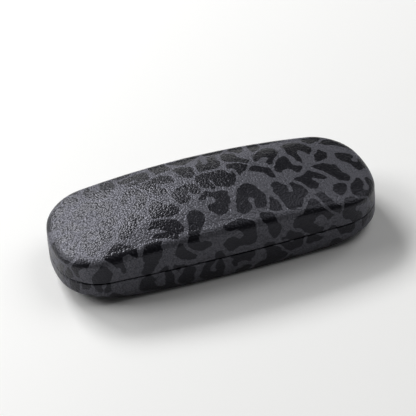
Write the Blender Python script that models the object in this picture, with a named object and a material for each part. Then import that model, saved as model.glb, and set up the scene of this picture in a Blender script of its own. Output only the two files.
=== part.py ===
"""Hard clamshell spectacle case with a pressed-steel lid and base, covered in leather and lined inside.

Metres, +Z up. The origin is the centre of the flat face that the case rests on, the long side runs along X,
and the hinge is at +Y. The lid is closed.
"""

import math

import bmesh
import bpy
from mathutils import Vector

MM = 0.001

# Outline of the case at the parting plane: an arc at each end, a nearly straight side, and a corner.
HALF_LENGTH = 80.0 * MM
HALF_WIDTH = 31.25 * MM
END_RADIUS = 57.0 * MM
SIDE_RADIUS = 1050.0 * MM
CORNER_RADIUS = 22.6 * MM
END_STEPS, CORNER_STEPS, SIDE_STEPS = 2, 7, 3

# Heights.
PARTING = 13.0 * MM
RIM_GAP = 0.2 * MM
LID_HEIGHT = 21.5 * MM
LID_WALL = 11.6 * MM
LID_WALL_LEAN = 0.3 * MM
SHOULDER = 5.0 * MM
END_DROP = 0.39
SHOULDER_STEPS, CROWN_STEPS = 3, 4

# Bottom edge of the base: an elliptical round that sweeps further in at the two ends.
BASE_ROUND_IN = 2.5 * MM
BASE_ROUND_UP = 7.0 * MM
BASE_END_SWEEP = 34.0 * MM
BASE_STEPS = 4

# Wall build-up, each as a depth below the outer surface.
SKIN = 1.0 * MM
STEEL_OUT, STEEL_IN = 1.3 * MM, 2.1 * MM
TURN_OUT, TURN_IN = 2.4 * MM, 3.4 * MM
LINING_OUT, LINING_STEP, LINING_IN = 2.4 * MM, 3.7 * MM, 4.4 * MM
TURN_DEPTH = 3.0 * MM
LINING_EDGE = 1.5 * MM
EDGE_ROUND = 0.5 * MM
FIT_GAP = 0.3 * MM

# Hinge.
AXIS_Y = HALF_WIDTH + 1.9 * MM
BARREL_RADIUS = 1.6 * MM
BORE_RADIUS = 0.9 * MM
PIN_RADIUS = 0.7 * MM
PIN_HEAD_RADIUS, PIN_HEAD = 1.2 * MM, 0.5 * MM
KNUCKLES = 5
KNUCKLE_LENGTH = 9.6 * MM
KNUCKLE_GAP = 0.5 * MM
LEAF = 0.6 * MM
LEAF_DEPTH = 3.2 * MM
LEAF_REACH = 6.6 * MM
LEAF_BEND = 0.5 * MM
WEB_HEIGHT = 1.0 * MM
TAB_OVERLAP, TAB_SHORT_OF_AXIS = 0.8 * MM, 0.6 * MM
NOTCH_MARGIN, WINDOW_MARGIN = 1.0 * MM, 2.5 * MM
CUT_PAST = 2.0 * MM
ROUND_SIDES = 16
HINGE_HALF = (KNUCKLES * KNUCKLE_LENGTH + (KNUCKLES - 1) * KNUCKLE_GAP) / 2

# Rivets through the leaf and the steel.
RIVETS_X = (-20.0 * MM, -11.0 * MM, 11.0 * MM, 20.0 * MM)
RIVET_HEIGHT = 3.9 * MM
RIVET_RADIUS, RIVET_HOLE = 0.9 * MM, 1.2 * MM
RIVET_HEAD_RADIUS = 1.6 * MM
RIVET_TAIL_DEPTH, RIVET_SEAT, RIVET_TOP = 1.5 * MM, 3.8 * MM, 4.35 * MM

# Snap spring: a bowed steel strip between the two leaves.
SPRING = 0.5 * MM
SPRING_HALF = 5.0 * MM
SPRING_FOOT = 5.5 * MM
SPRING_START, SPRING_HOOK = 4.0 * MM, 3.0 * MM
SPRING_BOW = 3.4 * MM
SLOT_CLEARANCE = 0.35 * MM

# Flexible strip that covers the hinge inside, bowed where it stores the slack for opening.
STRIP = 0.6 * MM
STRIP_HALF = 32.0 * MM
STRIP_REACH = 7.9 * MM
STRIP_BOW, STRIP_BOW_HALF = 4.8 * MM, 7.4 * MM
STRIP_GAP = 0.35 * MM


def clear_scene():
    for thing in list(bpy.data.objects):
        bpy.data.objects.remove(thing)


def material(name, colour, roughness, metallic=0.0):
    made = bpy.data.materials.new(name)
    made.use_nodes = True
    shader = made.node_tree.nodes["Principled BSDF"]
    shader.inputs["Base Color"].default_value = (*colour, 1)
    shader.inputs["Roughness"].default_value = roughness
    shader.inputs["Metallic"].default_value = metallic
    return made


def object_of(name, mesh_edit, finish, sharp=40):
    """A new object from a bmesh, with outward faces and smooth shading."""
    bmesh.ops.recalc_face_normals(mesh_edit, faces=mesh_edit.faces)
    mesh = bpy.data.meshes.new(name)
    mesh_edit.to_mesh(mesh)
    mesh_edit.free()
    mesh.shade_smooth()
    mesh.set_sharp_from_angle(angle=math.radians(sharp))
    if finish:
        mesh.materials.append(finish)
    made = bpy.data.objects.new(name, mesh)
    bpy.context.collection.objects.link(made)
    return made


def combine(target, tool, operation):
    """Adds an exact Boolean, and keeps its tool out of the part."""
    tool.hide_render = True
    tool.display_type = "WIRE"
    change = target.modifiers.new(f"{operation.lower()}_{tool.name}", "BOOLEAN")
    change.operation = operation
    change.solver = "EXACT"
    change.object = tool


# Outline and rings


def outline_arcs():
    """The first quadrant's arcs as (centre, radius, first angle, last angle, steps)."""
    end = Vector((HALF_LENGTH - END_RADIUS, 0))
    side = Vector((0, HALF_WIDTH - SIDE_RADIUS))
    to_end = END_RADIUS - CORNER_RADIUS
    to_side = SIDE_RADIUS - CORNER_RADIUS
    apart = (side - end).length
    along = (apart**2 + to_end**2 - to_side**2) / (2 * apart)
    across = math.sqrt(to_end**2 - along**2)
    direction = (side - end) / apart
    corner = end + direction * along + Vector((-direction.y, direction.x)) * across
    first = math.atan2(corner.y - end.y, corner.x - end.x)
    last = math.atan2(corner.y - side.y, corner.x - side.x)
    return (
        (end, END_RADIUS, 0, first, END_STEPS),
        (corner, CORNER_RADIUS, first, last, CORNER_STEPS),
        (side, SIDE_RADIUS, last, math.pi / 2, SIDE_STEPS),
    )


def outline(depth):
    """The closed outline, offset inwards by depth, anticlockwise from +X."""
    quarter = []
    for centre, radius, first, last, steps in outline_arcs():
        for i in range(steps):
            angle = first + (last - first) * i / steps
            reach = radius - depth
            quarter.append((centre.x + reach * math.cos(angle), centre.y + reach * math.sin(angle)))
    top = (0.0, HALF_WIDTH - depth)
    right, rest = quarter[0], quarter[1:]
    upper = [right, *rest, top] + [(-x, y) for x, y in reversed(rest)]
    return upper + [(-x, -y) for x, y in upper]


def end_drop(x):
    """How much lower the lid is at x than at its middle, as a factor."""
    return 1 - END_DROP * (x / HALF_LENGTH) ** 2


def level_ring(depth, z):
    return [(x, y, z) for x, y in outline(depth)]


def base_round_up(depth):
    """The height of the bottom edge's round, which tightens with depth as in a pressed tray."""
    return BASE_ROUND_UP - depth / 2


def base_rings(depth):
    """The base's surface at a depth, from its flat bottom out to its wall."""
    rings = []
    for i in range(BASE_STEPS + 1):
        angle = math.pi / 2 * (1 - i / BASE_STEPS)
        inward = 1 - math.cos(angle)
        narrow = 1 - BASE_END_SWEEP * inward / HALF_LENGTH
        z = depth + base_round_up(depth) * (1 - math.sin(angle))
        rings.append([(x * narrow, y, z) for x, y in outline(depth + BASE_ROUND_IN * inward)])
    return rings


def lid_ring(depth, inward, height, scale=1.0):
    points = [(x * scale, y * scale) for x, y in outline(depth + inward)]
    return [(x, y, PARTING + height * end_drop(x) - depth) for x, y in points]


def lid_rings(depth):
    """The lid's surface at a depth, from its wall's top up to the middle of its crown."""
    rings = []
    for i in range(SHOULDER_STEPS + 1):
        angle = math.pi / 2 * i / SHOULDER_STEPS
        inward = LID_WALL_LEAN + SHOULDER * (1 - math.cos(angle))
        rings.append(lid_ring(depth, inward, LID_WALL + SHOULDER * math.sin(angle)))
    crown = LID_WALL + SHOULDER
    for i in range(1, CROWN_STEPS):
        scale = 1 - i / CROWN_STEPS
        height = crown + (LID_HEIGHT - crown) * (1 - scale**2)
        rings.append(lid_ring(depth, LID_WALL_LEAN + SHOULDER, height, scale))
    rings.append([(0, 0, PARTING + LID_HEIGHT - depth)])
    return rings


def rim_ring(depth, height):
    """A ring on the lid's wall, its height above the rim shrinking towards the ends with the lid."""
    return [(x, y, PARTING + RIM_GAP + height * end_drop(x)) for x, y in outline(depth)]


def loft(name, rings, finish):
    """A closed body through the rings. The first and last are closed flat, or are single points."""
    edit = bmesh.new()
    loops = [[edit.verts.new(point) for point in ring] for ring in rings]
    for lower, upper in zip(loops, loops[1:]):
        count = max(len(lower), len(upper))
        for i in range(count):
            corners = []
            for loop, at in ((lower, i), (lower, i + 1), (upper, i + 1), (upper, i)):
                corner = loop[at % len(loop)]
                if corner not in corners:
                    corners.append(corner)
            edit.faces.new(corners)
    for loop in (loops[0], loops[-1]):
        if len(loop) > 1:
            edit.faces.new(loop)
    return object_of(name, edit, finish)


# Solids for the hinge and the cutters


def box(name, low, high, finish=None):
    edit = bmesh.new()
    bmesh.ops.create_cube(edit, size=1)
    for vertex in edit.verts:
        vertex.co = [a + (b - a) * (c + 0.5) for a, b, c in zip(low, high, vertex.co)]
    return object_of(name, edit, finish)


def turned(name, profile, place, finish, along="X"):
    """A round body about an axis through place. The profile is (distance along, radius)."""
    edit = bmesh.new()
    add_turned(edit, profile, place, along)
    return object_of(name, edit, finish)


def add_turned(edit, profile, place, along):
    rings = []
    for distance, radius in profile:
        ring = []
        for i in range(ROUND_SIDES):
            turn = 2 * math.pi * i / ROUND_SIDES
            u, v = radius * math.cos(turn), radius * math.sin(turn)
            offset = (distance, u, v) if along == "X" else (u, distance, v)
            ring.append(edit.verts.new(Vector(place) + Vector(offset)))
        rings.append(ring)
    for lower, upper in zip(rings, rings[1:]):
        for i in range(ROUND_SIDES):
            j = (i + 1) % ROUND_SIDES
            edit.faces.new((lower[i], lower[j], upper[j], upper[i]))
    edit.faces.new(rings[0])
    edit.faces.new(rings[-1])


def side_y(x, depth, bowed):
    """Where the back wall's surface is at a depth, following the outline's long arc if bowed."""
    if not bowed:
        return HALF_WIDTH - depth
    return HALF_WIDTH - SIDE_RADIUS + math.sqrt((SIDE_RADIUS - depth) ** 2 - x**2)


def ribbon(name, path, thickness, stations, finish, bowed=False):
    """A bent strip across the x stations. Its path is (depth, height from the parting) points."""
    edit = bmesh.new()
    edges = []
    for i, (depth, height) in enumerate(path):
        before, after = path[max(i - 1, 0)], path[min(i + 1, len(path) - 1)]
        run = Vector((after[0] - before[0], after[1] - before[1])).normalized()
        for side in (-1, 1):
            shift = side * thickness / 2
            edges.append((side, depth - run.y * shift, height + run.x * shift))
    front = [(d, h) for side, d, h in edges if side < 0]
    back = [(d, h) for side, d, h in edges if side > 0]
    section = front + back[::-1]
    rings = []
    for x in stations:
        rings.append([edit.verts.new((x, side_y(x, d, bowed), PARTING + h)) for d, h in section])
    count = len(section)
    for lower, upper in zip(rings, rings[1:]):
        for i in range(count):
            j = (i + 1) % count
            edit.faces.new((lower[i], lower[j], upper[j], upper[i]))
    last = len(path) - 1
    for ring in (rings[0], rings[-1]):
        for i in range(last):
            edit.faces.new((ring[i], ring[i + 1], ring[count - 2 - i], ring[count - 1 - i]))
    return object_of(name, edit, finish)


# Covers, shells and linings


def base_wall(leather, steel, flock):
    rim = PARTING - RIM_GAP
    under = rim - SKIN
    cover = base_rings(0) + [
        level_ring(0, rim - EDGE_ROUND),
        level_ring(EDGE_ROUND * 0.3, rim - EDGE_ROUND * 0.3),
        level_ring(EDGE_ROUND, rim),
        level_ring(TURN_IN, rim),
        level_ring(TURN_IN, rim - TURN_DEPTH),
        level_ring(TURN_OUT, rim - TURN_DEPTH),
        level_ring(TURN_OUT, under),
        level_ring(SKIN, under),
    ] + base_rings(SKIN)[::-1]
    shell = base_rings(STEEL_OUT) + [
        level_ring(STEEL_OUT, under - FIT_GAP),
        level_ring(STEEL_IN, under - FIT_GAP),
    ] + base_rings(STEEL_IN)[::-1]
    step = rim - TURN_DEPTH - FIT_GAP
    lining = base_rings(LINING_OUT) + [
        level_ring(LINING_OUT, step),
        level_ring(LINING_STEP, step),
        level_ring(LINING_STEP, rim - LINING_EDGE),
        level_ring(LINING_IN, rim - LINING_EDGE),
    ] + base_rings(LINING_IN)[::-1]
    return (
        loft("base_cover", cover, leather),
        loft("base_shell", shell, steel),
        loft("base_lining", lining, flock),
    )


def lid_wall(leather, steel, flock):
    cover = lid_rings(0)[::-1] + [
        rim_ring(0, EDGE_ROUND),
        rim_ring(EDGE_ROUND * 0.3, EDGE_ROUND * 0.3),
        rim_ring(EDGE_ROUND, 0),
        rim_ring(TURN_IN, 0),
        rim_ring(TURN_IN, TURN_DEPTH),
        rim_ring(TURN_OUT, TURN_DEPTH),
        level_ring(TURN_OUT, PARTING + RIM_GAP + SKIN),
        level_ring(SKIN, PARTING + RIM_GAP + SKIN),
    ] + lid_rings(SKIN)
    edge = PARTING + RIM_GAP + SKIN + FIT_GAP
    shell = lid_rings(STEEL_OUT)[::-1] + [
        level_ring(STEEL_OUT, edge),
        level_ring(STEEL_IN, edge),
    ] + lid_rings(STEEL_IN)
    step = TURN_DEPTH + 2 * FIT_GAP
    lining = lid_rings(LINING_OUT)[::-1] + [
        rim_ring(LINING_OUT, step),
        rim_ring(LINING_STEP, step),
        rim_ring(LINING_STEP, LINING_EDGE),
        rim_ring(LINING_IN, LINING_EDGE),
    ] + lid_rings(LINING_IN)
    return (
        loft("lid_cover", cover, leather),
        loft("lid_shell", shell, steel),
        loft("lid_lining", lining, flock),
    )


def make_room_for_hinge(side, cover, shell, lining):
    """Cuts the rim notch, the turned edge and the lining where the leaf, rivets and spring sit."""
    name = "lid" if side > 0 else "base"

    def span(near, far):
        ends = sorted((PARTING + side * near, PARTING + side * far))
        return ends[0], ends[1]

    notch = HINGE_HALF + NOTCH_MARGIN
    low, high = span(-CUT_PAST, WEB_HEIGHT + LEAF / 2 + FIT_GAP)
    through = (HALF_WIDTH - LINING_IN - CUT_PAST, HALF_WIDTH + CUT_PAST)
    tool = box(f"{name}_rim_notch", (-notch, through[0], low), (notch, through[1], high))
    combine(cover, tool, "DIFFERENCE")
    combine(shell, tool, "DIFFERENCE")

    low, high = span(-CUT_PAST, LEAF_REACH)
    inner = (HALF_WIDTH - 2 * LINING_IN, HALF_WIDTH - STEEL_IN)
    tool = box(f"{name}_turned_edge_cut", (-notch, inner[0], low), (notch, inner[1], high))
    combine(cover, tool, "DIFFERENCE")

    window = HINGE_HALF + WINDOW_MARGIN
    low, high = span(-CUT_PAST, LEAF_REACH + LEAF_BEND)
    tool = box(f"{name}_lining_window", (-window, inner[0], low), (window, inner[1], high))
    combine(lining, tool, "DIFFERENCE")


# Hinge


def knuckle_spans(own):
    """Ends of each knuckle along X: the base has the odd ones and the lid the even ones."""
    spans = []
    for i in range(own, KNUCKLES, 2):
        start = -HINGE_HALF + i * (KNUCKLE_LENGTH + KNUCKLE_GAP)
        spans.append((start, start + KNUCKLE_LENGTH))
    return spans


def hinge_leaf(name, side, own, steel):
    """Side is -1 on the base and 1 on the lid. The leaf is an angle strip with its knuckles joined on."""
    path = [(LEAF_DEPTH, side * LEAF_REACH), (LEAF_DEPTH, side * (WEB_HEIGHT + LEAF_BEND))]
    path += [(LEAF_DEPTH - 0.3 * LEAF_BEND, side * (WEB_HEIGHT + 0.3 * LEAF_BEND))]
    path += [(LEAF_DEPTH - LEAF_BEND, side * WEB_HEIGHT), (0, side * WEB_HEIGHT)]
    leaf = ribbon(name, path, LEAF, (-HINGE_HALF, HINGE_HALF), steel)
    heights = sorted((side * (WEB_HEIGHT - LEAF / 2), side * (WEB_HEIGHT + LEAF / 2)))
    for number, (start, stop) in enumerate(knuckle_spans(own), 1):
        tab = box(
            f"{name}_tab_{number}",
            (start, HALF_WIDTH - TAB_OVERLAP, PARTING + heights[0]),
            (stop, AXIS_Y - TAB_SHORT_OF_AXIS, PARTING + heights[1]),
        )
        combine(leaf, tab, "UNION")
        ends = [(0, BARREL_RADIUS), (stop - start, BARREL_RADIUS)]
        barrel = turned(f"{name}_knuckle_{number}", ends, (start, AXIS_Y, PARTING), None)
        combine(leaf, barrel, "UNION")
    length = HINGE_HALF + NOTCH_MARGIN
    ends = [(-length, BORE_RADIUS), (length, BORE_RADIUS)]
    bore = turned(f"{name}_bore", ends, (0, AXIS_Y, PARTING), None)
    combine(leaf, bore, "DIFFERENCE")
    half = SPRING / 2 + SLOT_CLEARANCE
    foot = PARTING + side * SPRING_FOOT
    wide = SPRING_HALF + SLOT_CLEARANCE
    slot = box(
        f"{name}_spring_slot",
        (-wide, HALF_WIDTH - LEAF_DEPTH - LEAF, foot - half),
        (wide, HALF_WIDTH - LEAF_DEPTH + LEAF, foot + half),
    )
    combine(leaf, slot, "DIFFERENCE")
    return leaf


def hinge_pin(steel):
    stem = HINGE_HALF + FIT_GAP
    end = stem + PIN_HEAD
    profile = [(-end, PIN_HEAD_RADIUS * 0.7), (-stem - PIN_HEAD * 0.5, PIN_HEAD_RADIUS)]
    profile += [(-stem, PIN_HEAD_RADIUS), (-stem, PIN_RADIUS), (stem, PIN_RADIUS), (stem, PIN_HEAD_RADIUS)]
    profile += [(stem + PIN_HEAD * 0.5, PIN_HEAD_RADIUS), (end, PIN_HEAD_RADIUS * 0.7)]
    turned("hinge_pin", profile, (0, AXIS_Y, PARTING), steel)


def rivets(name, side, shell, leaf, brass):
    height = PARTING + side * RIVET_HEIGHT
    holes = bmesh.new()
    for x in RIVETS_X:
        hole = [(-LEAF_DEPTH - LEAF, RIVET_HOLE), (-SKIN - 0.1 * MM, RIVET_HOLE)]
        add_turned(holes, hole, (x, HALF_WIDTH, height), "Y")
    tool = object_of(f"{name}_rivet_holes", holes, None)
    combine(shell, tool, "DIFFERENCE")
    combine(leaf, tool, "DIFFERENCE")
    for number, x in enumerate(RIVETS_X, 1):
        profile = [(-RIVET_TOP, RIVET_HEAD_RADIUS * 0.6), (-RIVET_SEAT - 0.2 * MM, RIVET_HEAD_RADIUS)]
        profile += [(-RIVET_SEAT, RIVET_HEAD_RADIUS), (-RIVET_SEAT, RIVET_RADIUS)]
        profile += [(-RIVET_TAIL_DEPTH, RIVET_RADIUS)]
        turned(f"{name}_rivet_{number}", profile, (x, HALF_WIDTH, height), brass, "Y")


def snap_spring(steel):
    steps = 12
    path = [(SPRING_HOOK, -SPRING_FOOT)]
    for i in range(steps + 1):
        turn = math.pi * i / steps
        path.append((SPRING_START + SPRING_BOW * math.sin(turn), -SPRING_FOOT * math.cos(turn)))
    path.append((SPRING_HOOK, SPRING_FOOT))
    ribbon("snap_spring", path, SPRING, (-SPRING_HALF, SPRING_HALF), steel)


def lining_depth(height):
    """How deep the lining's inner surface is at a height from the parting, where the strip ends in X."""
    if height < 0:
        up = base_round_up(LINING_IN)
        top = LINING_IN + up - PARTING
        below = min(max((top - height) / up, 0), 1)
        return LINING_IN + BASE_ROUND_IN * (1 - math.sqrt(1 - below**2))
    drop = end_drop(STRIP_HALF)
    top = LID_WALL * drop - LINING_IN
    above = min(max((height - top) / (SHOULDER * drop), 0), 1)
    lean = LID_WALL_LEAN * min(height / top, 1)
    return LINING_IN + lean + SHOULDER * (1 - math.sqrt(1 - above**2))


def hinge_strip(flock):
    steps = 16
    path = []
    for i in range(steps + 1):
        height = STRIP_REACH * (2 * i / steps - 1)
        bow = math.cos(math.pi / 2 * min(abs(height) / STRIP_BOW_HALF, 1)) ** 2
        clear = lining_depth(height) + STRIP_GAP + STRIP / 2 + 0.1 * MM
        path.append((clear + STRIP_BOW * bow, height))
    stations = [STRIP_HALF * (i / 4 - 1) for i in range(9)]
    ribbon("hinge_strip", path, STRIP, stations, flock, bowed=True)


def main():
    clear_scene()
    leather = material("print_leather", (0.05, 0.047, 0.055), 0.42)
    steel = material("pressed_steel", (0.5, 0.5, 0.5), 0.4, 1.0)
    bright = material("hinge_steel", (0.62, 0.61, 0.6), 0.28, 1.0)
    brass = material("rivet_brass", (0.7, 0.55, 0.3), 0.35, 1.0)
    flock = material("flocked_lining", (0.02, 0.02, 0.024), 0.95)

    base = base_wall(leather, steel, flock)
    lid = lid_wall(leather, steel, flock)
    make_room_for_hinge(-1, *base)
    make_room_for_hinge(1, *lid)
    base_leaf = hinge_leaf("base_hinge_leaf", -1, 0, bright)
    lid_leaf = hinge_leaf("lid_hinge_leaf", 1, 1, bright)
    rivets("base", -1, base[1], base_leaf, brass)
    rivets("lid", 1, lid[1], lid_leaf, brass)
    hinge_pin(bright)
    snap_spring(bright)
    hinge_strip(flock)

    hinge_axis = bpy.data.objects.new("lid_hinge_axis", None)
    hinge_axis.location = (0, AXIS_Y, PARTING)
    bpy.context.collection.objects.link(hinge_axis)
    bpy.context.view_layer.update()
    for piece in bpy.data.objects:
        if piece.name.startswith("lid_") and piece is not hinge_axis:
            piece.parent = hinge_axis
            piece.matrix_parent_inverse = hinge_axis.matrix_world.inverted()


main()
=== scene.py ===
"""The looks of the spectacle case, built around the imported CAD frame. Metres, +Z up, the hinge at +Y."""

import math

import bmesh
import bpy
import numpy as np
from mathutils import Matrix, Vector


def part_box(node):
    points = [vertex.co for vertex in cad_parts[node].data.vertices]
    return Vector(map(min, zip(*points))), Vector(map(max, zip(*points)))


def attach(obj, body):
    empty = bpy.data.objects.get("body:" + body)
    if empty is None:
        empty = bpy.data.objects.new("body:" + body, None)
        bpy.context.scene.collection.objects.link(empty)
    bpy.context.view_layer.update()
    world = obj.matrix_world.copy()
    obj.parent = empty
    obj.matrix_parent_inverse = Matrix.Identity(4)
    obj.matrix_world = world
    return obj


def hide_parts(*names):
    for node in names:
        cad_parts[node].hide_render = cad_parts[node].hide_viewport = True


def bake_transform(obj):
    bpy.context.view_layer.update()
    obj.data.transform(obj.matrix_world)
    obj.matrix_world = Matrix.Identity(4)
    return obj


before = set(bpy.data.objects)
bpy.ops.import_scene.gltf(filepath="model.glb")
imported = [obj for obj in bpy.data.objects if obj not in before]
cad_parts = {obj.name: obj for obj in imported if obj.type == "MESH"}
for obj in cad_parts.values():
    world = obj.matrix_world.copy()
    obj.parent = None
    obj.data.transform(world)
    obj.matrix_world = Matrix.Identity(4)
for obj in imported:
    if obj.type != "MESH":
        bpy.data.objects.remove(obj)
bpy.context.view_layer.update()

MM = 0.001

# The case's shape, as in the CAD model. Its overall sizes are read from the frame.
LID_LOW, LID_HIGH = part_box("lid_cover")
BASE_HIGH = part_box("base_cover")[1]
HALF_LENGTH = LID_HIGH.x
HALF_WIDTH = LID_HIGH.y
PARTING = (LID_LOW.z + BASE_HIGH.z) / 2
RIM_GAP = (LID_LOW.z - BASE_HIGH.z) / 2
LID_HEIGHT = LID_HIGH.z - PARTING
END_RADIUS, SIDE_RADIUS, CORNER_RADIUS = 57 * MM, 1050 * MM, 22.6 * MM
LID_WALL, LID_WALL_LEAN, SHOULDER = 11.6 * MM, 0.3 * MM, 5 * MM
END_DROP = 0.39
BASE_ROUND_IN, BASE_ROUND_UP, BASE_END_SWEEP = 2.5 * MM, 7 * MM, 34 * MM
SKIN, TURN_OUT, TURN_IN, TURN_DEPTH = 1.0 * MM, 2.4 * MM, 3.4 * MM, 3.0 * MM
LINING_OUT, LINING_STEP, LINING_IN, LINING_EDGE = 2.4 * MM, 3.7 * MM, 4.4 * MM, 1.5 * MM
EDGE_ROUND = 0.5 * MM
FIT_GAP = 0.3 * MM

# The hinge, its leaves, the spring and the strip inside, as in the CAD model
AXIS_Y = HALF_WIDTH + 1.9 * MM
BARREL_RADIUS, PIN_RADIUS = 1.6 * MM, 0.7 * MM
PIN_HEAD_RADIUS, PIN_HEAD = 1.2 * MM, 0.5 * MM
KNUCKLES, KNUCKLE_LENGTH, KNUCKLE_GAP, HINGE_HALF = 5, 9.6 * MM, 0.5 * MM, 25 * MM
LEAF, LEAF_DEPTH, LEAF_REACH, LEAF_BEND, WEB_HEIGHT = 0.6 * MM, 3.2 * MM, 6.6 * MM, 0.5 * MM, 1.0 * MM
RIVET_RADIUS, RIVET_HEAD = 0.9 * MM, 0.55 * MM
SPRING, SPRING_HALF, SPRING_FOOT, SPRING_TAB = 0.5 * MM, 5 * MM, 5.5 * MM, 0.5 * MM
SPRING_START, SPRING_HOOK, SPRING_BOW = 4.0 * MM, 3.0 * MM, 3.4 * MM
STRIP, STRIP_HALF, STRIP_REACH, STRIP_GAP = 0.6 * MM, 32 * MM, 7.9 * MM, 0.45 * MM
STRIP_BOW, STRIP_BOW_HALF, GATHER = 4.8 * MM, 7.4 * MM, 0.12 * MM
NOTCH_HALF, NOTCH_DEPTH = 26 * MM, 1.6 * MM
WINDOW_HALF, WINDOW_REACH = 27.5 * MM, 7.1 * MM

# Small folds where the leather is gathered over the rim: their depth, and how many stations apart they are
PLEAT, PLEAT_EVERY = 0.12 * MM, 4

# The meshes' fineness: stations round the outline, then rings over each stretch of the leather
AROUND = 504
LID_CROWN_STEPS, LID_SHOULDER_STEPS, LID_WALL_STEPS = 60, 12, 15
BASE_FLOOR_STEPS, BASE_ROUND_STEPS, BASE_WALL_STEPS = 40, 14, 8
RIM_STEPS = 4
MERGE_DISTANCE = 0.002 * MM

# Further off than anything in the model
FAR = 10.0


# Outline: an arc at each end, a nearly straight side, and a corner between them


def outline_arcs():
    """The first quadrant's arcs as (centre, radius, first angle, last angle)."""
    end = np.array([HALF_LENGTH - END_RADIUS, 0])
    side = np.array([0, HALF_WIDTH - SIDE_RADIUS])
    to_end, to_side = END_RADIUS - CORNER_RADIUS, SIDE_RADIUS - CORNER_RADIUS
    apart = np.linalg.norm(side - end)
    along = (apart**2 + to_end**2 - to_side**2) / (2 * apart)
    across = math.sqrt(to_end**2 - along**2)
    direction = (side - end) / apart
    corner = end + direction * along + np.array([-direction[1], direction[0]]) * across
    first = math.atan2(corner[1] - end[1], corner[0] - end[0])
    last = math.atan2(corner[1] - side[1], corner[0] - side[0])
    return (
        (end, END_RADIUS, 0.0, first),
        (corner, CORNER_RADIUS, first, last),
        (side, SIDE_RADIUS, last, math.pi / 2),
    )


def outline_stations(count):
    """Evenly spaced stations round the outline: each one's arc centre, arc radius and outward direction."""
    arcs = outline_arcs()
    lengths = [radius * (last - first) for _, radius, first, last in arcs]
    quarter = []
    for i in range(count // 4):
        along = (i + 0.5) / (count // 4) * sum(lengths)
        for (centre, radius, first, _), length in zip(arcs, lengths):
            if along <= length:
                break
            along -= length
        angle = first + along / radius
        quarter.append((*centre, radius, math.cos(angle), math.sin(angle)))
    quarter = np.array(quarter)
    mirror_x, mirror_y = np.array([-1, 1, 1, -1, 1]), np.array([1, -1, 1, 1, -1])
    upper = np.vstack([quarter, quarter[::-1] * mirror_x])
    return np.vstack([upper, upper[::-1] * mirror_y])


STATIONS = outline_stations(AROUND)


def outline(depth):
    """The outline offset inwards by depth, which may differ from station to station."""
    reach = (STATIONS[:, 2] - depth)[:, None]
    return STATIONS[:, :2] + reach * STATIONS[:, 3:]


def end_drop(x):
    return 1 - END_DROP * (x / HALF_LENGTH) ** 2


# Rings of the lid and the base


def ring(points, z):
    return np.column_stack([points, np.broadcast_to(z, len(points))])


def base_rings(depth, round_steps, floor_steps):
    """The base's surface at a depth, from the middle of its bottom out to its wall."""
    rings = []
    up = BASE_ROUND_UP - depth / 2
    flat = outline(depth + BASE_ROUND_IN) * (1 - BASE_END_SWEEP / HALF_LENGTH, 1)
    for i in range(1, floor_steps):
        rings.append(ring(flat * i / floor_steps, depth))
    for angle in np.linspace(math.pi / 2, 0, round_steps + 1):
        inward = 1 - math.cos(angle)
        narrow = 1 - BASE_END_SWEEP * inward / HALF_LENGTH
        points = outline(depth + BASE_ROUND_IN * inward) * (narrow, 1)
        rings.append(ring(points, depth + up * (1 - math.sin(angle))))
    return rings


def lid_ring(depth, inward, height, scale=1.0):
    points = outline(depth + inward) * scale
    return ring(points, PARTING + height * end_drop(points[:, 0]) - depth)


def lid_rings(depth, shoulder_steps, crown_steps):
    """The lid's surface at a depth, from the middle of its crown out to its wall's top."""
    rings = []
    crown = LID_WALL + SHOULDER
    for i in range(1, crown_steps):
        scale = i / crown_steps
        height = crown + (LID_HEIGHT - crown) * (1 - scale**2)
        rings.append(lid_ring(depth, LID_WALL_LEAN + SHOULDER, height, scale))
    for angle in np.linspace(math.pi / 2, 0, shoulder_steps + 1):
        inward = LID_WALL_LEAN + SHOULDER * (1 - math.cos(angle))
        rings.append(lid_ring(depth, inward, LID_WALL + SHOULDER * math.sin(angle)))
    return rings


def base_wall(depth, z):
    """A level ring on the base's wall."""
    return ring(outline(depth), z)


def lid_wall(depth, height):
    """A ring on the lid's wall, at a height above the lid's rim that falls off towards the ends."""
    points = outline(depth)
    return ring(points, PARTING + RIM_GAP + height * end_drop(points[:, 0]))


def between(first, last, steps):
    """Rings that divide the stretch between two rings."""
    return [first + (last - first) * i / steps for i in range(1, steps)]


def rounded_edge():
    """Depths and setbacks round the rim's outer edge, from the wall to the rim's face."""
    turns = np.linspace(0, math.pi / 2, RIM_STEPS + 1)
    return [(EDGE_ROUND * (1 - math.cos(turn)), EDGE_ROUND * (1 - math.sin(turn))) for turn in turns]


# Meshes


def mesh_object(name, vertices, faces, sharp=45):
    mesh = bpy.data.meshes.new(name)
    mesh.from_pydata([tuple(v) for v in vertices], [], faces)
    mesh.validate()
    mesh.shade_smooth()
    mesh.set_sharp_from_angle(angle=math.radians(sharp))
    made = bpy.data.objects.new(name, mesh)
    bpy.context.scene.collection.objects.link(made)
    return made


def ring_body(name, rings, start, stop):
    """A closed body through rings, from a point at the start to a point at the stop."""
    count = len(rings[0])
    vertices = np.vstack([start, *rings, stop])
    turn = np.arange(count)
    ahead = (turn + 1) % count
    faces = [(0, 1 + a, 1 + b) for a, b in zip(turn, ahead)]
    for k in range(len(rings) - 1):
        low, high = 1 + k * count, 1 + (k + 1) * count
        faces += [(low + a, high + a, high + b, low + b) for a, b in zip(turn, ahead)]
    low, last = 1 + (len(rings) - 1) * count, len(vertices) - 1
    faces += [(last, low + b, low + a) for a, b in zip(turn, ahead)]
    return mesh_object(name, vertices, outward(vertices, faces))


def outward(vertices, faces):
    """The same faces, turned over if the closed surface is inside out."""
    total = 0.0
    for face in faces:
        a = vertices[face[0]]
        for b, c in zip(face[1:], face[2:]):
            total += np.dot(a, np.cross(vertices[b], vertices[c]))
    return faces if total > 0 else [face[::-1] for face in faces]


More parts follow.
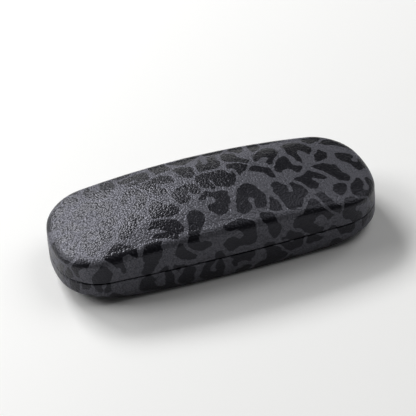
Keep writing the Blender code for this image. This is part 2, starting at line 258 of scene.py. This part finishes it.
# The animal print: a signed distance to the nearest spot's edge, in metres, negative inside.
# Each kind of spot has a share of the print, a cell radius (mm), and ranges for its length (mm), for its
# bend (1/mm) and half width (mm) at each end. The biggest kinds are laid first.

PRINT_KINDS = (
    # share, cell, length, first bend, last bend, first half width, last half width
    (0.32, 9.4, (19, 27), (0.15, 0.20), (0.15, 0.20), (2.9, 3.8), (2.8, 4.2)),  # open ring
    (0.15, 9.4, (20, 28), (0.09, 0.15), (-0.15, -0.09), (3.1, 4.0), (3.1, 4.2)),  # wave
    (0.20, 8.8, (16, 23), (0.02, 0.09), (0.18, 0.27), (4.0, 5.2), (2.6, 3.4)),  # comma
    (0.14, 7.4, (9, 14), (0.05, 0.14), (0.05, 0.14), (3.6, 4.8), (3.1, 4.1)),  # bean
    (0.19, 5.8, (2, 7), (0.0, 0.1), (0.0, 0.1), (4.0, 5.4), (3.8, 5.1)),  # blotch
)
# How near two middles may be, as a share of their cells' radii, and how fully the bigger kinds take up room
PRINT_CLOSENESS, PRINT_FILL, PRINT_TRIES = 0.74, 0.92, 5000
# The least and greatest width of the ground between two spots, and how far the print runs past the sheet
PRINT_CHANNEL, PRINT_MARGIN = (1.2 * MM, 2.7 * MM), 20 * MM
# The wavelength and size of each noise that bends the spots' edges
PRINT_WOBBLES = ((26 * MM, 1.6 * MM), (8 * MM, 0.6 * MM), (3.2 * MM, 0.2 * MM))
# How much the cells' corners and the spots' own corners are rounded
PRINT_CORNER, PRINT_TIP = 0.5 * MM, 0.4 * MM
# The circles in a spot's chain, and how much their radii vary (mm)
CIRCLES, CIRCLE_VARIATION = 12, 0.45
LID_PRINT_SEED, BASE_PRINT_SEED = 8, 21
# How many points are worked on at a time
BATCH = 12000


def wobble(rng, points, wavelength, size, waves=6):
    """Smooth seeded noise, one value per point, mostly within size of nought."""
    total = np.zeros(len(points))
    for _ in range(waves):
        turn, phase = rng.uniform(0, 2 * np.pi, 2)
        rate = 2 * np.pi / wavelength * rng.uniform(0.7, 1.4)
        total += np.sin(points @ np.array([np.cos(turn), np.sin(turn)]) * rate + phase)
    return total * size / math.sqrt(waves)


def soft_min(values, blur):
    """The least value in each row, with the corner between two close values rounded off."""
    low = values.min(1)
    return low - blur * np.log(np.exp(-(values - low[:, None]) / blur).sum(1))


def spread_spots(rng, low, high):
    """Middles and kinds of spots, thrown at random and kept where there is room for them."""
    cells = np.array([kind[1] for kind in PRINT_KINDS]) * MM
    shares = np.array([kind[0] for kind in PRINT_KINDS])
    taken = math.pi * PRINT_CLOSENESS**2 * (shares * cells**2).sum()
    wanted = np.prod(high - low) / taken * PRINT_FILL
    middles, kinds = np.full((1, 2), FAR), np.zeros(1, int)
    last = len(PRINT_KINDS) - 1
    for kind, share in enumerate(shares):
        room = wanted * share if kind < last else np.inf
        for _ in range(PRINT_TRIES):
            spot = rng.uniform(low, high)
            spare = np.hypot(*(middles - spot).T) - PRINT_CLOSENESS * (cells[kinds] + cells[kind])
            if spare.min() > 0 and room > 0:
                middles, kinds, room = np.vstack([middles, spot]), np.append(kinds, kind), room - 1
    return middles, kinds, cells[kinds]


def pick(rng, kinds, column):
    """A value for each spot, from its kind's range in a column of PRINT_KINDS."""
    low, high = np.array([kind[column] for kind in PRINT_KINDS])[kinds].T
    return (low + (high - low) * rng.random(len(kinds)))[:, None]


def spot_shapes(rng, kinds):
    """Each spot is a chain of circles along a bent line."""
    count = len(kinds)
    along = np.linspace(0, 1, CIRCLES)
    length, first, last = (pick(rng, kinds, column) for column in (2, 3, 4))
    side = rng.choice((-1, 1), count)[:, None]
    heading = rng.uniform(0, 2 * np.pi, count)[:, None]
    heading = heading + side * length * (first * along + (last - first) * along**2 / 2)
    step = length * MM / (CIRCLES - 1)
    steps = np.stack([np.cos(heading), np.sin(heading)], -1) * step[..., None]
    centres = np.cumsum(steps, axis=1)
    centres -= (centres.max(1, keepdims=True) + centres.min(1, keepdims=True)) / 2
    first, last = pick(rng, kinds, 5), pick(rng, kinds, 6)
    variation = rng.uniform(-CIRCLE_VARIATION, CIRCLE_VARIATION, (count, CIRCLES))
    radii = first + (last - first) * along + variation
    return centres, radii * MM


def spot_distance(points, seed):
    """Each spot keeps to its own cell, and the cells stand a channel's width apart."""
    rng = np.random.default_rng(seed)
    bent = points
    for wavelength, size in PRINT_WOBBLES:
        bent = bent + np.column_stack([wobble(rng, points, wavelength, size) for _ in range(2)])
    low, high = points.min(0) - PRINT_MARGIN, points.max(0) + PRINT_MARGIN
    middles, kinds, cells = spread_spots(rng, low, high)
    apart = np.linalg.norm(middles[:, None] - middles[None], axis=2)
    channel = rng.uniform(*PRINT_CHANNEL, apart.shape)
    half_channel = (channel + channel.T) / 4
    centres, radii = spot_shapes(rng, kinds)
    found = np.empty(len(points))
    for start in range(0, len(points), BATCH):
        part = bent[start:start + BATCH]
        row = np.arange(len(part))
        power = ((part[:, None] - middles[None]) ** 2).sum(2) - cells**2
        own = power.argmin(1)
        edge = (power - power[row, own][:, None]) / (2 * np.maximum(apart[own], MM)) - half_channel[own]
        edge[row, own] = FAR
        cell = soft_min(edge, PRINT_CORNER)
        reach = (part - middles[own])[:, None] - centres[own]
        shape = soft_min(np.hypot(reach[..., 0], reach[..., 1]) - radii[own], PRINT_TIP)
        found[start:start + BATCH] = -soft_min(np.column_stack([cell, -shape]), PRINT_TIP)
    return found


# Leather covers


def flat_places(rings, edge, first_inset):
    """Where each ring lay on the flat sheet: in place on the face, and past it as far as it is wrapped."""
    places = [r[:, :2] for r in rings[: edge + 1]]
    wrapped = np.zeros(len(rings[0]))
    for before, after in zip(rings[edge:], rings[edge + 1:]):
        wrapped = wrapped + np.linalg.norm(after - before, axis=1)
        places.append(outline(first_inset - wrapped))
    return places


def cut_notch(rings, side):
    """Cuts the rim and the turned edge away behind the hinge, where the leaves pass through."""
    skin, touch = outline(SKIN), 0.1 * MM
    limit = PARTING + side * NOTCH_DEPTH
    behind = (np.abs(skin[:, 0]) < NOTCH_HALF) & (skin[:, 1] > 0)
    for points in rings:
        turned_in = behind & (skin[:, 1] - points[:, 1] > -touch)
        points[turned_in, :2] = skin[turned_in]
        points[turned_in, 2] = limit
        points[behind, 2] = side * np.maximum(side * points[behind, 2], side * limit)


def clean(made, sharp):
    """Merges the points that a cut has brought together."""
    edit = bmesh.new()
    edit.from_mesh(made.data)
    bmesh.ops.remove_doubles(edit, verts=edit.verts, dist=MERGE_DISTANCE)
    edit.to_mesh(made.data)
    edit.free()
    made.data.shade_smooth()
    made.data.set_sharp_from_angle(angle=math.radians(sharp))
    return made


def pleats(rings, side):
    """Sinks small folds into the rim where the leather is gathered round the corners."""
    turn = np.arctan2(STATIONS[:, 4], STATIONS[:, 3])
    corner = np.abs(np.sin(2 * turn)) ** 0.7
    folded = (np.arange(AROUND) % PLEAT_EVERY == 0) & (STATIONS[:, 2] < SIDE_RADIUS)
    fold = np.where(folded, corner, 0.0)
    for points, share in zip(rings, np.linspace(0.25, 1, len(rings))):
        points[:, 2] += side * PLEAT * share * fold


def leather_body(name, outer, inner, face_steps, round_steps, first_inset, seed, side):
    """Outer runs from the middle of the face over the rim. Inner runs back beneath it."""
    edge = face_steps - 1
    places = flat_places(outer, edge, first_inset)
    places += [places[-1]] * len(inner)
    sheet = np.vstack([np.zeros((1, 2)), *places, np.zeros((1, 2))])
    distance = spot_distance(sheet, seed)
    rim_face, turned_back = outer[-8:-2], inner[:3]
    pleats(rim_face, side)
    cut_notch(outer[edge + round_steps:] + turned_back, side)
    middle, back = np.array([[0, 0, outer[0][0, 2]]]), np.array([[0, 0, inner[-1][0, 2]]])
    body = ring_body(name, outer + inner, middle, back)
    attribute = body.data.attributes.new("spot", "FLOAT", "POINT")
    attribute.data.foreach_set("value", (distance / MM).astype(np.float32))
    return clean(body, sharp=45)


def lid_leather():
    bend = FIT_GAP / 2
    outer = lid_rings(0, LID_SHOULDER_STEPS, LID_CROWN_STEPS)
    outer += between(outer[-1], lid_wall(0, EDGE_ROUND), LID_WALL_STEPS)
    outer += [lid_wall(depth, setback) for depth, setback in rounded_edge()]
    outer += between(outer[-1], lid_wall(TURN_IN, 0), RIM_STEPS)
    outer += [lid_wall(TURN_IN - bend, 0), lid_wall(TURN_IN, bend)]
    outer += [lid_wall(TURN_IN, TURN_DEPTH / 2), lid_wall(TURN_IN, TURN_DEPTH)]
    under = PARTING + RIM_GAP + SKIN
    inner = [lid_wall(TURN_OUT, TURN_DEPTH), ring(outline(TURN_OUT), under), ring(outline(SKIN), under)]
    inner += lid_rings(SKIN, shoulder_steps=3, crown_steps=6)[::-1]
    inset = LID_WALL_LEAN + SHOULDER
    return leather_body(
        "lid_leather", outer, inner, LID_CROWN_STEPS, LID_SHOULDER_STEPS, inset, LID_PRINT_SEED, 1
    )


def base_leather():
    rim, bend = PARTING - RIM_GAP, FIT_GAP / 2
    outer = base_rings(0, BASE_ROUND_STEPS, BASE_FLOOR_STEPS)
    outer += between(outer[-1], base_wall(0, rim - EDGE_ROUND), BASE_WALL_STEPS)
    outer += [base_wall(depth, rim - setback) for depth, setback in rounded_edge()]
    outer += between(outer[-1], base_wall(TURN_IN, rim), RIM_STEPS)
    outer += [base_wall(TURN_IN - bend, rim), base_wall(TURN_IN, rim - bend)]
    outer += [base_wall(TURN_IN, rim - TURN_DEPTH / 2), base_wall(TURN_IN, rim - TURN_DEPTH)]
    inner = [base_wall(TURN_OUT, rim - TURN_DEPTH), base_wall(TURN_OUT, rim - SKIN)]
    inner += [base_wall(SKIN, rim - SKIN)]
    inner += base_rings(SKIN, round_steps=4, floor_steps=4)[::-1]
    return leather_body(
        "base_leather", outer, inner, BASE_FLOOR_STEPS, BASE_ROUND_STEPS, BASE_ROUND_IN, BASE_PRINT_SEED, -1
    )


# Linings


def cut_window(rings, side):
    """Lowers the lining behind the hinge leaf, so that the leaf and rivets have room."""
    limit = side * (PARTING + side * WINDOW_REACH)
    for points in rings:
        behind = (np.abs(points[:, 0]) < WINDOW_HALF) & (points[:, 1] > 0)
        points[behind, 2] = side * np.maximum(side * points[behind, 2], limit)
    return rings


def lining_body(name, outer, inner, side):
    rings = cut_window(outer + inner, side)
    middle, back = np.array([[0, 0, rings[0][0, 2]]]), np.array([[0, 0, rings[-1][0, 2]]])
    return clean(ring_body(name, rings, middle, back), sharp=50)


def edge_roll(low, high, place, steps=5):
    """Rings over a rounded edge between two depths. Place gives a ring from a depth and a drop."""
    middle, half = (low + high) / 2, (high - low) / 2
    turns = np.linspace(0, math.pi, 2 * steps + 1)
    return [place(middle - half * math.cos(a), half * (1 - math.sin(a))) for a in turns]


def base_lining():
    rim = PARTING - RIM_GAP
    step, edge = rim - TURN_DEPTH - FIT_GAP, rim - LINING_EDGE
    outer = base_rings(LINING_OUT, round_steps=5, floor_steps=6)
    outer += [base_wall(LINING_OUT, step), base_wall(LINING_STEP, step)]
    outer += edge_roll(LINING_STEP, LINING_IN, lambda depth, drop: base_wall(depth, edge - drop))
    inside = base_rings(LINING_IN, round_steps=12, floor_steps=24)
    inner = between(outer[-1], inside[-1], steps=8) + inside[::-1]
    return lining_body("base_flock", outer, inner, -1)


def lid_lining():
    step = TURN_DEPTH + 2 * FIT_GAP
    outer = lid_rings(LINING_OUT, shoulder_steps=4, crown_steps=8)
    outer += [lid_wall(LINING_OUT, step), lid_wall(LINING_STEP, step)]
    outer += edge_roll(LINING_STEP, LINING_IN, lambda depth, drop: lid_wall(depth, LINING_EDGE + drop))
    inside = lid_rings(LINING_IN, shoulder_steps=12, crown_steps=30)
    inner = between(outer[-1], inside[-1], steps=10) + inside[::-1]
    return lining_body("lid_flock", outer, inner, 1)


# Hinge, rivets, spring and strip


def side_y(x, depth, bowed):
    """Where a depth below the back wall lies, either straight or following the wall's long arc."""
    if not bowed:
        return HALF_WIDTH - depth
    return HALF_WIDTH - SIDE_RADIUS + math.sqrt((SIDE_RADIUS - depth) ** 2 - x**2)


# Where a section's caps have their points: which end of the path, and the angles in degrees
CAP_TURNS = ((-1, (60, 0, -60)), (0, (240, 180, 120)))
# How a strip thins at its ends: the distance from the end in thicknesses, and the share of full thickness
END_TAPER = ((0.0, 0.45), (0.12, 0.8), (0.4, 1.0))


def section(path, thickness):
    """A closed section round a path of (depth, height) points, with a cap of three points at each end."""
    path = np.array(path, float)
    along = np.gradient(path, axis=0)
    along /= np.linalg.norm(along, axis=1)[:, None]
    across = np.column_stack([-along[:, 1], along[:, 0]])
    half = thickness / 2
    caps = []
    for end, turns in CAP_TURNS:
        for turn in np.radians(turns):
            caps.append(path[end] + half * (math.cos(turn) * along[end] + math.sin(turn) * across[end]))
    return np.vstack([path + half * across, caps[:3], (path - half * across)[::-1], caps[3:]])


def ribbon(path, thickness, stations, bowed=False, shift=None):
    """Vertices and faces of a bent strip along X. Its section follows the path and thins at both ends."""
    start, stop = stations[0], stations[-1]
    sections = [(start + along * thickness, share) for along, share in END_TAPER]
    sections += [(x, 1.0) for x in stations[1:-1]]
    sections += [(stop - along * thickness, share) for along, share in END_TAPER[::-1]]
    vertices = []
    for x, share in sections:
        for depth, height in section(path, thickness * share):
            moved = shift(x, height) if shift else 0.0
            vertices.append((x, side_y(x, depth + moved, bowed), PARTING + height))
    count = len(vertices) // len(sections)
    faces = []
    for k in range(len(sections) - 1):
        low, high = k * count, (k + 1) * count
        faces += [(low + i, low + (i + 1) % count, high + (i + 1) % count, high + i) for i in range(count)]
    for first, flip in ((0, False), ((len(sections) - 1) * count, True)):
        half = count // 2
        for i in range(half - 1):
            near, far = (i - 2) % count, (half * 2 - i - 3) % count
            face = [first + near, first + (near + 1) % count, first + (far - 1) % count, first + far]
            faces.append(face if flip else face[::-1])
    return np.array(vertices), faces


def joined(name, parts, sharp=45):
    """One object from several closed bodies."""
    vertices, faces = [], []
    for points, own in parts:
        offset = sum(len(v) for v in vertices)
        faced = outward(points, [tuple(f) for f in own])
        faces += [tuple(i + offset for i in f) for f in faced]
        vertices.append(points)
    return mesh_object(name, np.vstack(vertices), faces, sharp=sharp)


def hinge_leaf(name, side, own):
    """A plate under the rivets, with a web out through the notch and knuckles rolled round the pin.

    Own is the number of the leaf's first knuckle, and every second one after it belongs to the leaf too.
    """
    plate = [(LEAF_DEPTH, side * h) for h in np.linspace(LEAF_REACH, WEB_HEIGHT + LEAF_BEND, 6)]
    for angle in np.linspace(0, math.pi / 2, 6)[1:]:
        depth = LEAF_DEPTH - LEAF_BEND * (1 - math.cos(angle))
        plate.append((depth, side * (WEB_HEIGHT + LEAF_BEND * (1 - math.sin(angle)))))
    plate += [(d, side * WEB_HEIGHT) for d in (1.5 * MM, 0.4 * MM, 0.0)]
    parts = [ribbon(plate, LEAF, np.linspace(-HINGE_HALF, HINGE_HALF, 9))]
    thickness, lap = LEAF + 0.04 * MM, 0.12
    middle = BARREL_RADIUS - thickness / 2
    first = math.asin(WEB_HEIGHT / middle)
    axis_depth = HALF_WIDTH - AXIS_Y
    curl = [(d, side * WEB_HEIGHT) for d in (0.6 * MM, 0.2 * MM, -0.2 * MM)]
    for angle in np.linspace(first, 2 * math.pi + lap, 40):
        curl.append((axis_depth + middle * math.cos(angle), side * middle * math.sin(angle)))
    for i in range(own, KNUCKLES, 2):
        start = -HINGE_HALF + i * (KNUCKLE_LENGTH + KNUCKLE_GAP)
        parts.append(ribbon(curl, thickness, np.linspace(start, start + KNUCKLE_LENGTH, 5)))
    return joined(name, parts)


def turned(name, profile, centre, along, sides=40):
    """A turned part from (distance along, radius) pairs. Its first and last points are on the axis."""
    angles = np.linspace(0, 2 * math.pi, sides, endpoint=False)
    rings = []
    for distance, radius in profile[1:-1]:
        reach = np.full(sides, distance)
        rings.append(np.column_stack([reach, radius * np.cos(angles), radius * np.sin(angles)]))
    start, stop = (np.array([[profile[k][0], 0, 0]]) for k in (0, -1))
    made = ring_body(name, rings, start, stop)
    turn = Vector((1, 0, 0)).rotation_difference(Vector(along)).to_matrix().to_4x4()
    made.data.transform(Matrix.Translation(centre) @ turn)
    return made


def dome(start, height, radius, steps=6):
    """The profile of a domed head, from its rim to its crown."""
    turns = np.linspace(0.15, math.pi / 2, steps)
    return [(start + height * math.sin(t), radius * max(math.cos(t), 0.0)) for t in turns]


def hinge_pin():
    stem = HINGE_HALF + FIT_GAP
    half = [(0.0, PIN_RADIUS), (stem, PIN_RADIUS), (stem, PIN_HEAD_RADIUS * 0.96)]
    half += dome(stem, PIN_HEAD, PIN_HEAD_RADIUS)
    profile = [(-x, r) for x, r in half[:0:-1]] + half[1:]
    return turned("hinge_pin_visual", profile, (0, AXIS_Y, PARTING), (1, 0, 0))


def rivet(node):
    low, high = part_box(node)
    radius = (high.x - low.x) / 2
    shank = high.y - low.y - RIVET_HEAD
    profile = [(0, 0), (0, RIVET_RADIUS * 0.9), (0.1 * MM, RIVET_RADIUS), (shank, RIVET_RADIUS)]
    profile += [(shank, radius * 0.97), *dome(shank, RIVET_HEAD, radius)]
    centre = ((low.x + high.x) / 2, high.y, (low.z + high.z) / 2)
    return turned(f"{node}_visual", profile, centre, (0, -1, 0), sides=28)


def snap_spring():
    path = [(SPRING_HOOK, -SPRING_FOOT), (SPRING_HOOK + SPRING_TAB, -SPRING_FOOT)]
    for turn in np.linspace(0, math.pi, 33):
        path.append((SPRING_START + SPRING_BOW * math.sin(turn), -SPRING_FOOT * math.cos(turn)))
    path += [(SPRING_HOOK + SPRING_TAB, SPRING_FOOT), (SPRING_HOOK, SPRING_FOOT)]
    return joined("snap_spring_visual", [ribbon(path, SPRING, np.linspace(-SPRING_HALF, SPRING_HALF, 9))])


def lining_depth(height):
    """How deep the lining's face lies at a height, at the strip's ends, where it curves furthest in."""
    if height < 0:
        up = BASE_ROUND_UP - LINING_IN / 2
        below = min(max((LINING_IN + up - PARTING - height) / up, 0), 1)
        return LINING_IN + BASE_ROUND_IN * (1 - math.sqrt(1 - below**2))
    drop = end_drop(STRIP_HALF)
    top = LID_WALL * drop - LINING_IN
    above = min(max((height - top) / (SHOULDER * drop), 0), 1)
    return LINING_IN + LID_WALL_LEAN * min(height / top, 1) + SHOULDER * (1 - math.sqrt(1 - above**2))


def strip_bow(height):
    """How far the strip bows at a height, as a share: 0 where it is glued and 1 at the parting."""
    return math.cos(math.pi / 2 * min(abs(height) / STRIP_BOW_HALF, 1)) ** 2


def strip_gather(x, height):
    """The faint gathers that the strip's slack falls into: a long wave with a shorter one on it."""
    wave = math.sin(x / (2.1 * MM)) + 0.6 * math.sin(x / (0.9 * MM) + 1.3 + height / (3 * MM))
    return -GATHER * strip_bow(height) * (1 + wave)


def hinge_strip():
    """The strip and its length round its bow, glued at its two edges."""
    path = []
    for height in np.linspace(-STRIP_REACH, STRIP_REACH, 49):
        path.append((lining_depth(height) + STRIP_GAP + STRIP / 2 + STRIP_BOW * strip_bow(height), height))
    stations = np.linspace(-STRIP_HALF, STRIP_HALF, 97)
    body = ribbon(path, STRIP, stations, bowed=True, shift=strip_gather)
    made = joined("hinge_strip_visual", [body], sharp=60)
    steps = np.diff(np.array(path), axis=0)
    return made, float(np.hypot(steps[:, 0], steps[:, 1]).sum()) + STRIP


# Materials

# How many pebbles of grain the leather has in a metre, and how high they stand
PEBBLES, PEBBLE_HEIGHT = 1000, 0.24 * MM


class Graph:
    """A small helper that builds a material's nodes."""

    def __init__(self, name):
        self.material = bpy.data.materials.new(name)
        self.material.use_nodes = True
        self.tree = self.material.node_tree
        self.shader = self.tree.nodes["Principled BSDF"]

    def node(self, kind, inputs=(), **settings):
        made = self.tree.nodes.new(kind)
        for key, value in settings.items():
            setattr(made, key, value)
        for key, value in dict(inputs).items():
            self.feed(made.inputs[key], value)
        return made

    def feed(self, socket, value):
        if isinstance(value, bpy.types.NodeSocket):
            self.tree.links.new(value, socket)
        else:
            socket.default_value = value

    def math(self, operation, a, b):
        return self.node("ShaderNodeMath", {0: a, 1: b}, operation=operation).outputs[0]

    def remap(self, value, low, high, to_low=0.0, to_high=1.0, smooth=False):
        made = self.node(
            "ShaderNodeMapRange",
            {"Value": value, "From Min": low, "From Max": high, "To Min": to_low, "To Max": to_high},
        )
        made.interpolation_type = "SMOOTHSTEP" if smooth else "LINEAR"
        return made.outputs["Result"]

    def noise(self, where, scale, detail=2.0, roughness=0.5):
        settings = {"Vector": where, "Scale": scale, "Detail": detail, "Roughness": roughness}
        return self.node("ShaderNodeTexNoise", settings).outputs["Fac"]

    def cells(self, where, scale):
        return self.node("ShaderNodeTexVoronoi", {"Vector": where, "Scale": scale}).outputs["Distance"]

    def mix(self, share, a, b):
        made = self.node("ShaderNodeMix", data_type="RGBA")
        self.feed(made.inputs[0], share)
        self.feed(made.inputs[6], a)
        self.feed(made.inputs[7], b)
        return made.outputs[2]

    def bump(self, height, distance, strength):
        made = self.node("ShaderNodeBump", {"Height": height, "Distance": distance, "Strength": strength})
        return made.outputs["Normal"]

    def place(self):
        return self.node("ShaderNodeTexCoord").outputs["Object"]

    def attribute(self, name):
        return self.node("ShaderNodeAttribute", attribute_name=name).outputs["Fac"]

    def finish(self, **sockets):
        for key, value in sockets.items():
            self.feed(self.shader.inputs[key.replace("_", " ")], value)
        return self.material


def print_leather():
    """Pebbled leather with a pearly ground. The spots are printed on it in a plain, nearly black ink."""
    graph = Graph("print_leather")
    where = graph.place()
    pebble = graph.cells(where, PEBBLES)
    fine = graph.noise(where, 2600, detail=3)
    patch = graph.noise(where, 90, detail=3)
    # The distance to a spot's edge is in millimetres, and slightly ragged
    ragged = graph.math("SUBTRACT", graph.noise(where, 900), 0.5)
    distance = graph.math("ADD", graph.attribute("spot"), graph.math("MULTIPLY", ragged, 0.7))
    outside = graph.remap(distance, -0.16, 0.16, smooth=True)
    ground = graph.mix(patch, (0.088, 0.088, 0.102, 1), (0.114, 0.114, 0.130, 1))
    ink = graph.mix(patch, (0.0012, 0.0012, 0.0022, 1), (0.0028, 0.0027, 0.0045, 1))
    # Painted shade: the colour is darkened towards near black in the hollows between the grain's pebbles
    painted_hollow_shade = graph.math("MULTIPLY", graph.remap(pebble, 0.25, 0.75, smooth=True), 0.35)
    colour = graph.mix(painted_hollow_shade, graph.mix(outside, ink, ground), (0.008, 0.008, 0.010, 1))
    dome = graph.math("MULTIPLY", pebble, pebble)
    grain = graph.math("SUBTRACT", graph.math("MULTIPLY", fine, 0.3), dome)
    normal = graph.bump(grain, PEBBLE_HEIGHT, graph.remap(outside, 0, 1, 0.8, 1.3))
    roughness = graph.remap(graph.math("ADD", fine, patch), 0.6, 1.4, 0.26, 0.40)
    roughness = graph.math("ADD", roughness, graph.math("MULTIPLY", outside, 0.09))
    return graph.finish(
        Base_Color=colour, Roughness=roughness, Normal=normal, Specular_IOR_Level=0.5, IOR=1.41,
        Specular_Tint=(0.86, 0.86, 1.0, 1), Metallic=graph.math("MULTIPLY", outside, 0.42),
    )


def flocked():
    """A short dark nap, brushed lighter in patches, with a soft sheen."""
    graph = Graph("flocked_lining")
    where = graph.place()
    nap = graph.noise(where, 3200, detail=4, roughness=0.7)
    brushed = graph.noise(where, 60, detail=3)
    colour = graph.mix(brushed, (0.014, 0.014, 0.017, 1), (0.034, 0.034, 0.040, 1))
    colour = graph.mix(graph.remap(nap, 0.35, 0.7), colour, (0.060, 0.060, 0.069, 1))
    normal = graph.bump(nap, 0.2 * MM, 0.8)
    return graph.finish(
        Base_Color=colour, Roughness=graph.remap(nap, 0.3, 0.7, 0.88, 1.0), Normal=normal,
        Sheen_Weight=0.5, Sheen_Roughness=0.4, Sheen_Tint=(0.75, 0.76, 0.85, 1),
    )


def metal(name, dark, bright, low, high):
    """Metal brushed along X, between two colours and two roughnesses."""
    graph = Graph(name)
    where = graph.place()
    stretched = graph.node("ShaderNodeMapping", {"Vector": where, "Scale": (0.05, 1, 1)}).outputs["Vector"]
    brushing = graph.noise(stretched, 5200, detail=3)
    cloud = graph.noise(where, 240, detail=3)
    colour = graph.mix(cloud, dark, bright)
    rough = graph.remap(graph.math("ADD", brushing, cloud), 0.6, 1.4, low, high)
    return graph.finish(
        Base_Color=colour, Metallic=1.0, Roughness=rough, Normal=graph.bump(brushing, 0.01 * MM, 0.6)
    )


def cover_case():
    leather = print_leather()
    lid = lid_leather()
    base = base_leather()
    for piece, body, node in ((lid, "lid", "lid_cover"), (base, "base", "base_cover")):
        piece.data.materials.append(leather)
        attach(piece, body)
        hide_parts(node)


def fit_insides():
    flock = flocked()
    base, lid = base_lining(), lid_lining()
    for piece, body, node in ((base, "base", "base_lining"), (lid, "lid", "lid_lining")):
        piece.data.materials.append(flock)
        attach(piece, body)
        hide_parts(node)
    strip, length = hinge_strip()
    strip.data.materials.append(flock)
    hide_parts("hinge_strip")
    bend(strip, STRIP_BOW_HALF)


def bend(piece, reach):
    """Bakes the piece's placement into its mesh."""
    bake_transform(piece)


def fit_hinge():
    bright = metal("hinge_steel", (0.56, 0.55, 0.54, 1), (0.68, 0.67, 0.66, 1), 0.2, 0.36)
    tempered = metal("spring_steel", (0.36, 0.37, 0.41, 1), (0.48, 0.49, 0.54, 1), 0.25, 0.4)
    brass = metal("rivet_brass", (0.62, 0.46, 0.22, 1), (0.74, 0.58, 0.32, 1), 0.25, 0.42)
    fittings = [
        (hinge_leaf("base_leaf_visual", -1, 0), "base", "base_hinge_leaf", bright, "hinge_steel"),
        (hinge_leaf("lid_leaf_visual", 1, 1), "lid", "lid_hinge_leaf", bright, "hinge_steel"),
        (hinge_pin(), "base", "hinge_pin", bright, "hinge_steel"),
    ]
    for body in ("base", "lid"):
        for node in (f"{body}_rivet_{number}" for number in range(1, 5)):
            fittings.append((rivet(node), body, node, brass, "rivet_brass"))
    for piece, body, node, material, slot in fittings:
        piece.data.materials.append(material)
        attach(piece, body)
        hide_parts(node)
    spring = snap_spring()
    spring.data.materials.append(tempered)
    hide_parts("snap_spring")
    bend(spring, SPRING_FOOT - SPRING)


def finish_shells():
    steel = metal("pressed_steel", (0.42, 0.42, 0.43, 1), (0.55, 0.55, 0.55, 1), 0.38, 0.55)
    for name in ("base_shell", "lid_shell"):
        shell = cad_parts[name]
        shell.data.materials.clear()
        shell.data.materials.append(steel)


# Stage

# Each light's direction from the case, distance, width and height in metres, and power in watts
LIGHTS = {
    "window": ((-0.7, 0.43, 0.58), 1.9, (1.2, 0.9), 21.3),
    "back_window": ((-0.25, 0.75, 0.62), 1.7, (0.66, 0.44), 21),
    "ceiling": ((0.75, 0.1, 1.0), 1.8, (1.3, 1.3), 10),
}
SKY_STRENGTH = 0.06
FLOOR_REACH = 1.6


def floor():
    graph = Graph("floor_white")
    where = graph.place()
    shade = graph.noise(where, 3)
    colour = graph.mix(shade, (0.86, 0.86, 0.85, 1), (0.88, 0.88, 0.87, 1))
    material = graph.finish(Base_Color=colour, Roughness=0.55)
    corners = [(x * FLOOR_REACH, y * FLOOR_REACH, 0) for x, y in ((-1, -1), (1, -1), (1, 1), (-1, 1))]
    made = mesh_object("floor", np.array(corners), [(0, 1, 2, 3)])
    made.data.materials.append(material)


def light(name, direction, distance, size, power):
    data = bpy.data.lights.new(name, "AREA")
    data.shape = "RECTANGLE"
    data.size, data.size_y = size
    data.energy = power
    made = bpy.data.objects.new(name, data)
    made.location = Vector(direction).normalized() * distance
    made.rotation_euler = made.location.to_track_quat("Z", "Y").to_euler()
    bpy.context.scene.collection.objects.link(made)


def studio():
    for name, settings in LIGHTS.items():
        light(name, *settings)
    world = bpy.data.worlds.new("studio")
    bpy.context.scene.world = world
    world.use_nodes = True
    background = world.node_tree.nodes["Background"]
    background.inputs["Color"].default_value = (1, 1, 1, 1)
    background.inputs["Strength"].default_value = SKY_STRENGTH
    bpy.context.scene.view_settings.view_transform = "Standard"


# Camera: azimuth is from straight in front of the opening side, and roll turns the picture

CAMERA_AZIMUTH, CAMERA_ELEVATION = math.radians(-15.16), math.radians(38.77)
CAMERA_ROLL = math.radians(-3.9)
CAMERA_DISTANCE = 0.7614
CAMERA_AIM = Vector((0, 0, 0.02))
CAMERA_LENS = 137.9
CAMERA_SHIFT = (-0.0089, -0.0080)


def camera():
    azimuth, elevation, roll = CAMERA_AZIMUTH, CAMERA_ELEVATION, CAMERA_ROLL
    flat = math.cos(elevation)
    back = Vector((math.sin(azimuth) * flat, -math.cos(azimuth) * flat, math.sin(elevation)))
    right = Vector((math.cos(azimuth), math.sin(azimuth), 0))
    up = back.cross(right)
    turned_right = right * math.cos(roll) + up * math.sin(roll)
    turned_up = up * math.cos(roll) - right * math.sin(roll)
    data = bpy.data.cameras.new("camera")
    data.lens = CAMERA_LENS
    data.shift_x, data.shift_y = CAMERA_SHIFT
    made = bpy.data.objects.new("camera", data)
    turn = Matrix((turned_right, turned_up, back)).transposed()
    made.matrix_world = Matrix.Translation(CAMERA_AIM + back * CAMERA_DISTANCE) @ turn.to_4x4()
    bpy.context.scene.collection.objects.link(made)
    bpy.context.scene.camera = made


camera()
cover_case()
fit_insides()
fit_hinge()
finish_shells()
floor()
studio()
